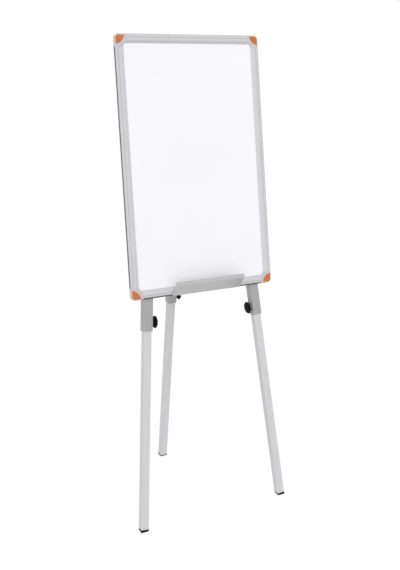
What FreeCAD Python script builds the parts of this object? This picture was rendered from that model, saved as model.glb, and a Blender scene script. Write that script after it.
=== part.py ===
import FreeCAD, Part
import math
import os
import re

import Sketcher
from FreeCAD import Placement, Rotation, Vector

# A portrait whiteboard on a folding tripod easel with three telescopic legs.
# +X is right and -Y is the writing side, +Z is up, and the origin is on the floor under the middle of the
# easel's bounding box. Lengths are in millimetres and angles in degrees.

DRIVING = {
    # Board and panel
    "board_width": 612,
    "board_height": 1000,
    "sheet_gauge": 0.5,
    "core_thickness": 5,
    "panel_gap": 0.5,
    # Section of the four rails, from the outer edge inwards
    "rail_width": 35,
    "rail_wall": 1.6,
    "crest": 5,
    "bevel": 4.5,
    "bead_width": 7,
    "groove_width": 2.6,
    "groove_depth": 1,
    "slope_width": 11,
    "lip_edge": 1.2,
    "box_width": 23,
    "back_lip": 8,
    # Moulded corners and their orange caps
    "corner_radius": 17,
    "corner_inner_radius": 13,
    "corner_margin": 1,
    "corner_proud": 0.6,
    "spigot_length": 34,
    "spigot_gap": 0.1,
    "cap_inset": 5,
    "cap_reach": 40,
    "cap_bulge": 7,
    "cap_seat": 1.8,
    "cap_proud": 0.8,
    "cap_round": 0.6,
    # Pen tray, bent from sheet
    "tray_length": 295,
    "tray_shift": 11,
    "tray_gauge": 1.5,
    "tray_reach": 47,
    "tray_slope": 43.5,
    "tray_lip": 14.5,
    "tray_bend_gap": 1,
    "tray_bend": 1.5,
    "tray_screw_pitch": 110,
    # Stance of the easel
    "floor_to_board": 885,
    "board_lean": 7.9,
    "leg_inset": 75.7,
    "leg_splay": 4.8,
    "rear_lean": 7.85,
    # Telescopic tubes
    "tube_size": 37.5,
    "tube_wall": 1.6,
    "tube_corner": 3,
    "tube_drop": 126,
    "tube_top_gap": 5,
    "rear_tube_length": 1126,
    "inner_size": 30.5,
    "inner_wall": 1.5,
    "inner_corner": 2.5,
    "tube_overlap": 212,
    "slide_gap": 0.2,
    "fit_gap": 0.05,
    "bush_length": 60,
    "plug_flange": 3,
    "plug_depth": 8,
    "plug_chamfer": 2,
    "glide_height": 12,
    "glide_depth": 15,
    # Feet
    "foot_size": 31,
    "foot_sole": 7,
    "foot_depth": 18,
    # Saddles that hold the front legs on the rails
    "saddle_gauge": 1.5,
    "saddle_gap": 0.2,
    "saddle_flange": 8.5,
    "saddle_width": 24,
    "saddle_bend": 2,
    # Clamps
    "clamp_rise": 32,
    "stud_dia": 8,
    "stud_grip": 9,
    "thread_gap": 0.05,
    "nut_dia": 16,
    "nut_spigot": 12,
    "nut_boss": 5,
    "nut_chamfer": 0.8,
    "tip_dia": 7.4,
    "tip_length": 2.2,
    "tip_gap": 0.1,
    "tip_pin": 3,
    "tip_pin_length": 4,
    "knob_gap": 2,
    "knob_dia": 48,
    "knob_rim": 8,
    "knob_round": 2.5,
    "knob_crown": 1.5,
    "hub_dia": 22,
    "hub_height": 4,
    "lobe_count": 8,
    "lobe_radius": 6.5,
    "lobe_depth": 3.4,
    # Rear hinge
    "bracket_gauge": 3,
    "bracket_width": 104,
    "ear_radius": 14,
    "ear_gap": 0.6,
    "stop_gap": 0.3,
    "tube_above_pivot": 16,
    "bolt_dia": 8,
    "bolt_gap": 0.05,
    "bolt_flats": 13,
    "bolt_head": 5.3,
    "bolt_end": 2.5,
    "bolt_nut": 6.5,
    "washer_dia": 16,
    "washer_gauge": 1.6,
    "sleeve_dia": 12,
    "sleeve_stand": 0.3,
    "hinge_screw_inner": 32,
    "hinge_screw_outer": 45,
    # One pan-head screw for corners, saddles, hinge and tray
    "screw_dia": 3.5,
    "screw_length": 8,
    "screw_head": 7.2,
    "screw_head_height": 2.2,
    "screw_head_bevel": 1.2,
    "screw_gap": 0.1,
}

DERIVED = {
    "panel_thickness": "2 * sheet_gauge + core_thickness",
    "panel_inset": "box_width + panel_gap",
    "panel_width": "board_width - 2 * panel_inset",
    "panel_height": "board_height - 2 * panel_inset",
    "rail_back": "panel_thickness + rail_wall",
    "groove_start": "bevel + bead_width",
    "web_near": "groove_start + (groove_width - rail_wall) / 2",
    "web_far": "web_near + rail_wall",
    "screw_line": "(web_far + box_width - rail_wall) / 2",
    "bevel_inside": "rail_wall * tan(22.5)",
    "spigot_line": "(rail_wall + web_near) / 2",
    "corner_leg": "rail_width + corner_inner_radius + corner_margin",
    "corner_top": "crest + corner_proud",
    "spigot_middle": "corner_leg + spigot_length / 2",
    "cap_chord": "sqrt(2) * (cap_reach - cap_inset)",
    "cap_arc": "cap_chord ^ 2 / (8 * cap_bulge) + cap_bulge / 2",
    "cap_corner": "corner_radius - cap_inset",
    "tray_foot": "crest - bevel + tray_bend_gap",
    "tray_inside": "tray_reach - tray_gauge",
    "tray_rise": "(tray_inside - tray_foot) * tan(tray_slope)",
    "screw_hole": "screw_dia + 2 * screw_gap",
    "tube_bore": "tube_size - 2 * tube_wall",
    "tube_bore_corner": "tube_corner - tube_wall",
    "inner_bore": "inner_size - 2 * inner_wall",
    "inner_bore_corner": "inner_corner - inner_wall",
    "tube_depth": "rail_back + tube_size / 2",
    "tube_length": "(board_height - tube_top_gap) / cos(leg_splay) + tube_drop",
    "leg_floor": "(floor_to_board - tube_depth * sin(board_lean)) / cos(board_lean) / cos(leg_splay)",
    "leg_edge": "board_width / 2 - leg_inset",
    "leg_spread": "leg_edge + leg_floor * sin(leg_splay)",
    "inner_length": "leg_floor - foot_sole - tube_drop + tube_overlap",
    "saddle_inside": "tube_size / 2 + saddle_gap",
    "saddle_outside": "saddle_inside + saddle_gauge",
    "saddle_height": "tube_size + fit_gap",
    "saddle_screw": "saddle_outside + saddle_flange / 2",
    "saddle_low": "screw_line / cos(leg_splay)",
    "saddle_high": "(board_height - screw_line) / cos(leg_splay)",
    "rear_angle": "board_lean + rear_lean",
    "pivot_front": "tube_size / 2 * cos(rear_angle) + tube_above_pivot * sin(rear_angle)",
    "pivot_stand": "bracket_gauge + stop_gap + pivot_front",
    "pivot_depth": "rail_back + pivot_stand",
    "pivot_rise": "board_height - screw_line",
    "pivot_height": "floor_to_board - pivot_depth * sin(board_lean) + pivot_rise * cos(board_lean)",
    "pivot_hang": "rear_tube_length - tube_above_pivot",
    "rear_floor": "pivot_height / cos(rear_lean)",
    "rear_inner_length": "rear_floor - foot_sole - pivot_hang + tube_overlap",
    "ear_inside": "tube_size / 2 + ear_gap",
    "ear_outside": "ear_inside + bracket_gauge",
    "bolt_seat": "ear_outside + washer_gauge",
    "bolt_hole": "bolt_dia + 2 * bolt_gap",
    "tip_start": "inner_size / 2 + tip_gap",
    "stud_start": "tip_start + tip_length",
    "nut_end": "tube_size / 2 + nut_boss",
    "knob_start": "nut_end + knob_gap",
    "head_start": "knob_start + hub_height",
    "head_end": "head_start + knob_rim",
    "stud_end": "knob_start + stud_grip",
    "tip_hole": "tip_dia + 2 * slide_gap",
    "front_toe": "tube_depth * cos(board_lean) - leg_floor * cos(leg_splay) * sin(board_lean)",
    "rear_toe": "pivot_depth * cos(board_lean) + pivot_rise * sin(board_lean) + pivot_height * tan(rear_lean)",
    "front_end": "front_toe - foot_size / 2 / cos(board_lean)",
    "rear_end": "rear_toe + foot_size / 2 / cos(rear_lean)",
    "board_back": "-(front_end + rear_end) / 2",
}

doc = FreeCAD.newDocument("easel")
sheet = doc.addObject("Spreadsheet::Sheet", "Sizes")
for row, (alias, entry) in enumerate({**DRIVING, **DERIVED}.items(), start=1):
    sheet.set(f"A{row}", alias)
    sheet.set(f"B{row}", str(entry) if alias in DRIVING else f"={entry}")
    sheet.setAlias(f"B{row}", alias)
doc.recompute()
size = {alias: float(sheet.get(alias)) for alias in {**DRIVING, **DERIVED}}
nodes = {}


def tied(text):
    """The formula with every size name pointed at its cell."""
    return re.sub(r"[a-z_]+", lambda word: f"Sizes.{word[0]}" if word[0] in size else word[0], text)


def worth(text):
    return float(sheet.evalExpression(tied(text)))


def node(thing, label, placement):
    """Names a finished sub-part and puts it in its place."""
    thing.Label = label
    thing.Placement = placement
    nodes[label] = thing
    return thing


def at(x=0, y=0, z=0):
    return Placement(Vector(x, y, z), Rotation())


def turned(axis, angle):
    return Placement(Vector(), Rotation(axis, angle))


X_AXIS = Vector(1, 0, 0)
Y_AXIS = Vector(0, 1, 0)

# Frames: the board leans back about its bottom edge, with x right, y backwards and z up the board.
BOARD = at(0, size["board_back"], size["floor_to_board"]) * turned(X_AXIS, -size["board_lean"])
LEGS = {
    side: BOARD * at(sign * size["leg_edge"], size["tube_depth"]) * turned(Y_AXIS, -sign * size["leg_splay"])
    for side, sign in (("left", -1), ("right", 1))
}
PIVOT = BOARD * at(0, size["pivot_depth"], size["pivot_rise"])
REAR = PIVOT * turned(X_AXIS, size["rear_angle"])


def edge_frame(turn):
    """Frame at an outer corner: x along the edge, y inwards and z to the front, for quarter turns from the
    bottom left corner."""
    right = size["board_width"] / 2 * (1 if turn in (1, 2) else -1)
    up = size["board_height"] if turn in (2, 3) else 0
    return BOARD * at(right, 0, up) * turned(Y_AXIS, -90 * turn) * turned(X_AXIS, 90)


# Modelling steps shared by the sub-parts


def new_body(label):
    return doc.addObject("PartDesign::Body", label)


def origin(body, role):
    return next(feature for feature in body.Origin.OriginFeatures if feature.Role == role)


def sketch_on(body, role, offset="0"):
    """Sketch on an origin plane of the body, moved along the plane's normal."""
    sketch = body.newObject("Sketcher::SketchObject", f"{body.Name}_sketch")
    sketch.AttachmentSupport = [(origin(body, role), "")]
    sketch.MapMode = "FlatFace"
    if offset != "0":
        sketch.setExpression("AttachmentOffset.Base.z", tied(offset))
    return sketch


def pin(sketch, geometry, end, x, y):
    """Ties a point of the sketch to two formulas."""
    for kind, axis, text in (("DistanceX", -2, x), ("DistanceY", -1, y)):
        if text == "0":
            sketch.addConstraint(Sketcher.Constraint("PointOnObject", geometry, end, axis))
            continue
        mark = sketch.addConstraint(Sketcher.Constraint(kind, -1, 1, geometry, end, worth(text)))
        sketch.setExpression(f"Constraints[{mark}]", tied(text))


def arc_between(start, finish, radius):
    """Arc from start to finish, bulging right of the way when the radius is positive and left when negative."""
    chord = finish - start
    left = Vector(-chord.y, chord.x, 0).normalize() * math.copysign(1, radius)
    rise = math.sqrt(max(radius**2 - (chord.Length / 2) ** 2, 0))
    centre = start + chord / 2 + left * rise
    first, last = (start, finish) if radius > 0 else (finish, start)
    angles = [math.atan2((point - centre).y, (point - centre).x) for point in (first, last)]
    if angles[1] < angles[0]:
        angles[1] += 2 * math.pi
    return Part.ArcOfCircle(Part.Circle(centre, Vector(0, 0, 1), abs(radius)), *angles)


def outline(sketch, corners):
    """Closed run of lines and arcs. A corner is x, y and, where an arc leaves it, that arc's radius, with a
    minus sign before the radius of an arc that bulges to the left of the way round."""
    points = [Vector(worth(corner[0]), worth(corner[1]), 0) for corner in corners]
    sides = []
    for index, corner in enumerate(corners):
        start, finish = points[index], points[(index + 1) % len(points)]
        radius = worth(corner[2]) if len(corner) > 2 else 0
        curve = arc_between(start, finish, radius) if radius else Part.LineSegment(start, finish)
        sides.append((sketch.addGeometry(curve), 2 if radius < 0 else 1))
    for index, corner in enumerate(corners):
        geometry, first = sides[index]
        following, next_first = sides[(index + 1) % len(sides)]
        sketch.addConstraint(Sketcher.Constraint("Coincident", geometry, 3 - first, following, next_first))
        pin(sketch, geometry, first, corner[0], corner[1])
        if len(corner) > 2:
            mark = sketch.addConstraint(Sketcher.Constraint("Radius", geometry, abs(worth(corner[2]))))
            sketch.setExpression(f"Constraints[{mark}]", tied(corner[2].lstrip("-")))


def circle(sketch, x, y, diameter):
    geometry = sketch.addGeometry(Part.Circle(Vector(worth(x), worth(y), 0), Vector(0, 0, 1), worth(diameter) / 2))
    pin(sketch, geometry, 3, x, y)
    mark = sketch.addConstraint(Sketcher.Constraint("Diameter", geometry, worth(diameter)))
    sketch.setExpression(f"Constraints[{mark}]", tied(diameter))


def rounded_square(sketch, side, radius):
    """Square about the origin with rounded corners."""
    half, flat = f"({side}) / 2", f"(({side}) / 2 - ({radius}))"
    outline(
        sketch,
        [
            (f"-{flat}", f"-{half}"),
            (flat, f"-{half}", radius),
            (half, f"-{flat}"),
            (half, flat, radius),
            (flat, half),
            (f"-{flat}", half, radius),
            (f"-{half}", flat),
            (f"-{half}", f"-{flat}", radius),
        ],
    )


def feature(body, kind, sketch, length=None, both=False, flip=False):
    """Pad or pocket of a sketch, through everything where no length is given."""
    step = body.newObject(f"PartDesign::{kind}", f"{body.Name}_{kind.lower()}")
    step.Profile = sketch
    step.SideType = "Symmetric" if both else "One side"
    step.Reversed = flip
    if length is None:
        step.Type = "ThroughAll"
    else:
        step.setExpression("Length", tied(length))
    return step


def revolved(label, profile):
    """Body turned about its z axis from a profile of radius and height."""
    body = new_body(label)
    sketch = sketch_on(body, "XZ_Plane")
    outline(sketch, profile)
    turn = body.newObject("PartDesign::Revolution", f"{label}_turn")
    turn.Profile = sketch
    turn.ReferenceAxis = (sketch, ["V_Axis"])
    turn.Angle = 360
    return body


def dress(body, kind, base, wanted, amount):
    """Fillet or chamfer on the edges of the base feature that are wanted."""
    doc.recompute()
    names = [f"Edge{number}" for number, edge in enumerate(base.Shape.Edges, start=1) if wanted(edge)]
    step = body.newObject(f"PartDesign::{kind}", f"{body.Name}_{kind.lower()}")
    step.Base = (base, names)
    step.setExpression("Radius" if kind == "Fillet" else "Size", tied(amount))
    return step


def along(edge, axis, points, tolerance=0.01):
    """Whether a straight edge runs along the axis through one of the points."""
    first, last = edge.Vertexes[0].Point, edge.Vertexes[-1].Point
    across = [(first - point).cross(axis).Length for point in points]
    return (last - first).cross(axis).Length < tolerance and min(across) < tolerance


def level(edge, height, tolerance=0.01):
    """Whether an edge lies at one height."""
    return all(abs(vertex.Z - height) < tolerance for vertex in edge.Vertexes)


def drilled(body, role, places, diameter, length=None, both=False, flip=False):
    """Round holes in a row of places, each given as two formulas or two lengths."""
    sketch = sketch_on(body, role)
    for x, y in places:
        circle(sketch, str(x), str(y), diameter)
    return feature(body, "Pocket", sketch, length, both, flip)


# Board panel: lacquered sheet, core and backing sheet


def panel_layer(label, thickness, depth):
    layer = doc.addObject("Part::Box", label)
    layer.setExpression("Length", tied("panel_width"))
    layer.setExpression("Width", tied(thickness))
    layer.setExpression("Height", tied("panel_height"))
    node(layer, label, BOARD * at(-size["panel_width"] / 2, worth(depth), size["panel_inset"]))


panel_layer("writing_sheet", "sheet_gauge", "0")
panel_layer("board_core", "core_thickness", "sheet_gauge")
panel_layer("back_sheet", "sheet_gauge", "sheet_gauge + core_thickness")


# Places of the screws on the back, as board x and z


def saddle_screws_at(height):
    """Screws of the left and right saddles at a height along the legs."""
    splay = math.radians(size["leg_splay"])
    places = []
    for sign in (-1, 1):
        for offset in (-size["saddle_screw"], size["saddle_screw"]):
            x = size["leg_edge"] - height * math.sin(splay) + offset * math.cos(splay)
            places.append((sign * x, height * math.cos(splay) + offset * math.sin(splay)))
    return places


upper_screws = saddle_screws_at(size["saddle_high"])
lower_screws = saddle_screws_at(size["saddle_low"])
hinge_offsets = [sign * size[name] for sign in (-1, 1) for name in ("hinge_screw_inner", "hinge_screw_outer")]
tray_offsets = [size["tray_shift"] + step * size["tray_screw_pitch"] for step in (-1, 0, 1)]


# Extruded rails: a hollow section with two chambers, a sloped front lip and a slot for the panel


def rail(label, turn, run, back_holes, under_holes=()):
    body = new_body(label)
    section = sketch_on(body, "YZ_Plane")
    outline(
        section,
        [
            ("0", "-rail_back"),
            ("box_width + back_lip", "-rail_back"),
            ("box_width + back_lip", "-panel_thickness"),
            ("box_width", "-panel_thickness"),
            ("box_width", "0"),
            ("rail_width", "0"),
            ("rail_width", "lip_edge"),
            ("rail_width - slope_width", "crest"),
            ("groove_start + groove_width", "crest"),
            ("groove_start + groove_width / 2", "crest - groove_depth"),
            ("groove_start", "crest"),
            ("bevel", "crest"),
            ("0", "crest - bevel"),
        ],
    )
    outline(
        section,
        [
            ("rail_wall", "rail_wall - rail_back"),
            ("web_near", "rail_wall - rail_back"),
            ("web_near", "crest - rail_wall"),
            ("bevel + bevel_inside", "crest - rail_wall"),
            ("rail_wall", "crest - bevel - bevel_inside"),
        ],
    )
    outline(
        section,
        [
            ("web_far", "rail_wall - rail_back"),
            ("box_width - rail_wall", "rail_wall - rail_back"),
            ("box_width - rail_wall", "crest - rail_wall"),
            ("web_far", "crest - rail_wall"),
        ],
    )
    feature(body, "Pad", section, run)
    drilled(body, "XY_Plane", back_holes, "screw_hole")
    if under_holes:
        drilled(body, "XZ_Plane", under_holes, "screw_hole", "2 * rail_wall")
    node(body, label, edge_frame(turn) * at(size["corner_leg"]))


wide_run = "(board_width - 2 * corner_leg)"
tall_run = "(board_height - 2 * corner_leg)"
half_run = worth(wide_run) / 2
top_holes = [(half_run - x, size["board_height"] - z) for x, z in upper_screws]
top_holes += [(half_run - x, size["screw_line"]) for x in hinge_offsets]
bottom_holes = [(half_run + x, z) for x, z in lower_screws]
tray_line = -size["panel_thickness"] / 2
rail("bottom_rail", 0, wide_run, bottom_holes, [(half_run + x, tray_line) for x in tray_offsets])
side_holes = [("spigot_length / 2", "spigot_line"), (f"{tall_run} - spigot_length / 2", "spigot_line")]
rail("right_rail", 1, tall_run, side_holes)
rail("top_rail", 2, wide_run, top_holes)
rail("left_rail", 3, tall_run, side_holes)


# Moulded corners, each with two spigots in the rails, a panel slot and a recess for its cap


def inner_region(sketch, back):
    """The writing area's rounded corner, moved outwards by some width."""
    reach = "(corner_leg + corner_margin)"
    near = f"(rail_width - ({back}))"
    centre = "(rail_width + corner_inner_radius)"
    outline(
        sketch,
        [
            (reach, near),
            (reach, reach),
            (near, reach),
            (near, centre, f"corner_inner_radius + ({back})"),
            (centre, near),
        ],
    )


def cap_outline(sketch, gap):
    """Leaf shape: two straight sides by the outer edges, a round corner and a bulging inner side."""
    near = f"(cap_inset + {gap})"
    far = f"(cap_reach - 2 * {gap})"
    turn = "(cap_inset + cap_corner)"
    outline(
        sketch,
        [
            (turn, near),
            (far, near, "cap_arc"),
            (near, far),
            (near, turn, f"cap_corner - {gap}"),
        ],
    )


def corner(label, turn):
    body = new_body(label)
    shape = sketch_on(body, "XY_Plane", "-rail_back")
    outline(
        shape,
        [
            ("corner_radius", "0"),
            ("corner_leg", "0"),
            ("corner_leg", "rail_width"),
            ("rail_width + corner_inner_radius", "rail_width", "-corner_inner_radius"),
            ("rail_width", "rail_width + corner_inner_radius"),
            ("rail_width", "corner_leg"),
            ("0", "corner_leg"),
            ("0", "corner_radius", "corner_radius"),
        ],
    )
    block = feature(body, "Pad", shape, "rail_back + corner_top")

    def outer_front(edge):
        outside = min(edge.BoundBox.XMin, edge.BoundBox.YMin) < 0.01
        leg_end = max(edge.BoundBox.XMin, edge.BoundBox.YMin) > size["corner_leg"] - 0.01
        return level(edge, size["corner_top"]) and outside and not leg_end

    dress(body, "Chamfer", block, outer_front, "bevel")
    slope = body.newObject("PartDesign::SubtractiveLoft", f"{label}_slope")
    top = sketch_on(body, "XY_Plane", "corner_top")
    inner_region(top, "slope_width")
    foot = sketch_on(body, "XY_Plane", "lip_edge")
    inner_region(foot, "0")
    slope.Profile = top
    slope.Sections = [foot]
    slope.Ruled = True
    slot = sketch_on(body, "XY_Plane")
    reach = "(corner_leg + corner_margin)"
    outline(slot, [("box_width", "box_width"), (reach, "box_width"), (reach, reach), ("box_width", reach)])
    feature(body, "Pocket", slot, "panel_thickness")
    seat = sketch_on(body, "XY_Plane", "corner_top")
    cap_outline(seat, "0")
    feature(body, "Pocket", seat, "cap_seat")
    low, high = "(rail_wall + spigot_gap)", "(web_near - spigot_gap)"
    rear, front = "(spigot_gap + rail_wall - rail_back)", "(crest - bevel - bevel_inside - spigot_gap)"
    for role, flip in (("YZ_Plane", False), ("XZ_Plane", True)):
        offset = "corner_leg" if role == "YZ_Plane" else "-corner_leg"
        spigot = sketch_on(body, role, offset)
        outline(spigot, [(low, rear), (high, rear), (high, front), (low, front)])
        feature(body, "Pad", spigot, "spigot_length", flip=flip)
    place = ("spigot_middle", "spigot_line") if turn % 2 else ("spigot_line", "spigot_middle")
    drilled(body, "XY_Plane", [place], "screw_hole", both=True)
    node(body, label, edge_frame(turn))


def cap(label, turn):
    body = new_body(label)
    shape = sketch_on(body, "XY_Plane", "corner_top - cap_seat")
    cap_outline(shape, "spigot_gap")
    block = feature(body, "Pad", shape, "cap_seat + cap_proud")
    dress(body, "Fillet", block, lambda edge: level(edge, size["corner_top"] + size["cap_proud"]), "cap_round")
    node(body, label, edge_frame(turn))


for turn, place in enumerate(("bottom_left", "bottom_right", "top_right", "top_left")):
    corner(f"corner_{place}", turn)
    cap(f"cap_{place}", turn)


# Pen tray: a flange under the bottom rail, a sloped trough and an upright lip


def pen_tray():
    body = new_body("pen_tray")
    section = sketch_on(body, "YZ_Plane")
    outer_foot = "(tray_foot + tray_gauge * tan(tray_slope / 2))"
    outer_rise = "(tray_rise - tray_gauge * cos(tray_slope) / (1 + sin(tray_slope)))"
    outline(
        section,
        [
            ("rail_back", "0"),
            ("-tray_foot", "0"),
            ("-tray_inside", "tray_rise"),
            ("-tray_inside", "tray_rise + tray_lip"),
            ("-tray_reach", "tray_rise + tray_lip"),
            ("-tray_reach", outer_rise),
            (f"-{outer_foot}", "-tray_gauge"),
            ("rail_back", "-tray_gauge"),
        ],
    )
    block = feature(body, "Pad", section, "tray_length")
    inner = [(-size["tray_foot"], 0), (-size["tray_inside"], size["tray_rise"])]
    outer = [(-worth(outer_foot), -size["tray_gauge"]), (-size["tray_reach"], worth(outer_rise))]
    for places, radius in ((inner, "tray_bend"), (outer, "tray_bend + tray_gauge")):
        points = [Vector(0, y, z) for y, z in places]
        block = dress(body, "Fillet", block, lambda edge: along(edge, X_AXIS, points), radius)
    middle = size["tray_length"] / 2 - size["tray_shift"]
    drilled(body, "XY_Plane", [(middle + x, -tray_line) for x in tray_offsets], "screw_hole", both=True)
    node(body, "pen_tray", BOARD * at(size["tray_shift"] - size["tray_length"] / 2))


pen_tray()


# Screws, as groups of one pan-head pattern


def screw_pattern():
    head, shank = "screw_head / 2", "screw_dia / 2"
    return revolved(
        "screw_pattern",
        [
            ("0", "-screw_head_height"),
            (f"{head} - screw_head_bevel", "-screw_head_height"),
            (head, "screw_head_bevel - screw_head_height"),
            (head, "0"),
            (shank, "0"),
            (shank, "screw_length - screw_dia / 2"),
            ("0", "screw_length"),
        ],
    )


pattern = screw_pattern()
doc.recompute()


def screw_group(label, places):
    group = doc.addObject("Part::Feature", label)
    shapes = []
    for place in places:
        copy = pattern.Shape.copy()
        copy.Placement = place
        shapes.append(copy)
    group.Shape = Part.makeCompound(shapes)
    node(group, label, BOARD)


def from_back(x, z, stand):
    return at(x, size["rail_back"] + stand, z) * turned(X_AXIS, 90)


corner_places = [
    from_back(sign * (size["board_width"] / 2 - size["spigot_line"]), z, 0)
    for sign in (-1, 1)
    for z in (size["spigot_middle"], size["board_height"] - size["spigot_middle"])
]
screw_group("corner_screws", corner_places)
screw_group("saddle_screws", [from_back(x, z, size["saddle_gauge"]) for x, z in upper_screws + lower_screws])
screw_group("hinge_screws", [from_back(x, size["pivot_rise"], size["bracket_gauge"]) for x in hinge_offsets])
screw_group("tray_screws", [at(x, -tray_line, -size["tray_gauge"]) for x in tray_offsets])


# Telescopic legs


def outer_tube(label, frame, length, inward, pivot=False):
    """Square tube from its lower mouth up, drilled for the clamp nut on one side."""
    body = new_body(label)
    section = sketch_on(body, "XY_Plane")
    rounded_square(section, "tube_size", "tube_corner")
    rounded_square(section, "tube_bore", "tube_bore_corner")
    feature(body, "Pad", section, length)
    drilled(body, "YZ_Plane", [("0", "clamp_rise")], "nut_spigot", flip=inward > 0)
    if pivot:
        place = [("0", f"{length} - tube_above_pivot")]
        drilled(body, "YZ_Plane", place, "sleeve_dia + 2 * fit_gap", both=True)
    node(body, label, frame)


def guide_bush(label, frame, inward):
    """Plastic sleeve in the mouth of the outer tube."""
    body = new_body(label)
    section = sketch_on(body, "XY_Plane")
    rounded_square(section, "tube_bore - 2 * fit_gap", "tube_bore_corner")
    rounded_square(section, "inner_size + 2 * slide_gap", "inner_corner")
    feature(body, "Pad", section, "bush_length")
    drilled(body, "YZ_Plane", [("0", "clamp_rise")], "tip_hole", flip=inward > 0)
    node(body, label, frame)


def tube_plug(label, frame):
    """Cap of the tube's top end."""
    body = new_body(label)
    insert = sketch_on(body, "XY_Plane", "-plug_depth")
    rounded_square(insert, "tube_bore - 2 * fit_gap", "tube_bore_corner")
    feature(body, "Pad", insert, "plug_depth")
    flange = sketch_on(body, "XY_Plane")
    rounded_square(flange, "tube_size", "tube_corner")
    head = feature(body, "Pad", flange, "plug_flange")
    dress(body, "Chamfer", head, lambda edge: level(edge, size["plug_flange"]), "plug_chamfer")
    node(body, label, frame)


def inner_tube(label, frame, length):
    body = new_body(label)
    section = sketch_on(body, "XY_Plane")
    rounded_square(section, "inner_size", "inner_corner")
    rounded_square(section, "inner_bore", "inner_bore_corner")
    feature(body, "Pad", section, length)
    node(body, label, frame)


def inner_glide(label, frame):
    """Plastic slider on the top end of the inner tube, running in the outer tube's bore."""
    body = new_body(label)
    insert = sketch_on(body, "XY_Plane", "-glide_depth")
    rounded_square(insert, "inner_bore - 2 * fit_gap", "inner_bore_corner")
    feature(body, "Pad", insert, "glide_depth")
    slider = sketch_on(body, "XY_Plane")
    rounded_square(slider, "tube_bore - 2 * slide_gap", "tube_bore_corner")
    feature(body, "Pad", slider, "glide_height")
    node(body, label, frame)


def foot(label, frame):
    """Plug in the inner tube's lower end with a sole cut level with the floor."""
    blank = new_body(f"{label}_blank")
    insert = sketch_on(blank, "XY_Plane")
    rounded_square(insert, "inner_bore - 2 * fit_gap", "inner_bore_corner")
    feature(blank, "Pad", insert, "foot_depth")
    sole = sketch_on(blank, "XY_Plane")
    rounded_square(sole, "foot_size", "inner_corner")
    feature(blank, "Pad", sole, "2 * foot_sole", flip=True)
    floor = doc.addObject("Part::Box", f"{label}_floor")
    for side in ("Length", "Width", "Height"):
        floor.setExpression(side, tied("4 * foot_size"))
    middle = frame.Base
    reach = 4 * size["foot_size"]
    floor.Placement = frame.inverse() * at(middle.x - reach / 2, middle.y - reach / 2, -reach)
    cut = doc.addObject("Part::Cut", label)
    cut.Base = blank
    cut.Tool = floor
    node(cut, label, frame)


def clamp(side, frame):
    """Lobed knob on a threaded stud with a soft tip, in a nut on the tube's wall. z points out of the tube."""
    bore, spigot, boss = "stud_dia / 2 + thread_gap", "nut_spigot / 2 - fit_gap", "nut_dia / 2"
    nut = revolved(
        f"clamp_nut_{side}",
        [
            (bore, "tube_size / 2 - tube_wall"),
            (spigot, "tube_size / 2 - tube_wall"),
            (spigot, "tube_size / 2"),
            (boss, "tube_size / 2"),
            (boss, "nut_end - nut_chamfer"),
            (f"{boss} - nut_chamfer", "nut_end"),
            (bore, "nut_end"),
        ],
    )
    node(nut, f"clamp_nut_{side}", frame)
    hole = "tip_pin / 2 + thread_gap"
    pin_end = "stud_start + tip_pin_length"
    stud = revolved(
        f"clamp_stud_{side}",
        [
            (hole, "stud_start"),
            ("stud_dia / 2", "stud_start"),
            ("stud_dia / 2", "stud_end"),
            ("0", "stud_end"),
            ("0", f"{pin_end} + tip_gap"),
            (hole, f"{pin_end} + tip_gap"),
        ],
    )
    node(stud, f"clamp_stud_{side}", frame)
    tip = revolved(
        f"clamp_tip_{side}",
        [
            ("0", "tip_start"),
            ("tip_dia / 2", "tip_start"),
            ("tip_dia / 2", "stud_start"),
            ("tip_pin / 2", "stud_start"),
            ("tip_pin / 2", pin_end),
            ("0", pin_end),
        ],
    )
    node(tip, f"clamp_tip_{side}", frame)
    rim = "knob_dia / 2"
    knob = revolved(
        f"clamp_knob_{side}",
        [
            ("stud_dia / 2", "knob_start"),
            ("hub_dia / 2", "knob_start"),
            ("hub_dia / 2", "head_start"),
            (f"{rim} - knob_round", "head_start", "knob_round"),
            (rim, "head_start + knob_round"),
            (rim, "head_end - knob_round", "knob_round"),
            (f"{rim} - knob_round", "head_end"),
            ("hub_dia / 2", "head_end + knob_crown"),
            ("0", "head_end + knob_crown"),
            ("0", "stud_end"),
            ("stud_dia / 2", "stud_end"),
        ],
    )
    doc.recompute()
    scallop = sketch_on(knob, "XY_Plane")
    circle(scallop, f"{rim} + lobe_radius - lobe_depth", "0", "2 * lobe_radius")
    groove = feature(knob, "Pocket", scallop, both=True)
    ring = knob.newObject("PartDesign::PolarPattern", f"clamp_knob_{side}_lobes")
    ring.Originals = [groove]
    ring.Axis = (scallop, ["N_Axis"])
    ring.Angle = 360
    ring.setExpression("Occurrences", tied("lobe_count"))
    knob.Tip = ring
    node(knob, f"clamp_knob_{side}", frame)


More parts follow.
